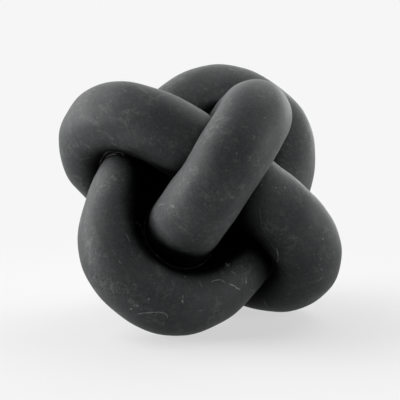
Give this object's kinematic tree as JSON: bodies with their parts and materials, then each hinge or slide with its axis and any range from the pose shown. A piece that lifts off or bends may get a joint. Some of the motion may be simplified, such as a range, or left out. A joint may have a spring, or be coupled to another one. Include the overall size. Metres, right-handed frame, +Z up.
{
  "type": "ceramic knot sculpture",
  "caption": "Matte black ceramic ornament of linked round-ended rings, pressed snugly over one another into a ball-like knot that stands on ground flats.",
  "frame": {"origin": "on the floor, under the middle of the knot's bounding box", "axes": "+Z up from the floor; +X to the right and +Y away, as seen from the pictured side, where the bend of the back loop stands nearest"},
  "size_m": [0.1346, 0.1358, 0.1186],
  "materials": {
    "stoneware": "matte, unglazed",
    "seam_slip": "matte",
    "bedding_slip": "matte"
  },
  "bodies": {
    "root": {"front_loop_upper_half": "stoneware", "front_loop_upper_bed": "bedding_slip", "front_loop_upper_seam": "seam_slip", "front_loop_lower_half": "stoneware", "front_loop_lower_bed": "bedding_slip", "front_loop_lower_seam": "seam_slip", "left_loop_upper_half": "stoneware", "left_loop_upper_bed": "bedding_slip", "left_loop_upper_seam": "seam_slip", "left_loop_lower_half": "stoneware", "left_loop_lower_bed": "bedding_slip", "left_loop_lower_seam": "seam_slip", "back_loop_upper_half": "stoneware", "back_loop_upper_bed": "bedding_slip", "back_loop_upper_seam": "seam_slip", "back_loop_lower_half": "stoneware", "back_loop_lower_bed": "bedding_slip", "back_loop_lower_seam": "seam_slip"}
  },
  "joints": []
}
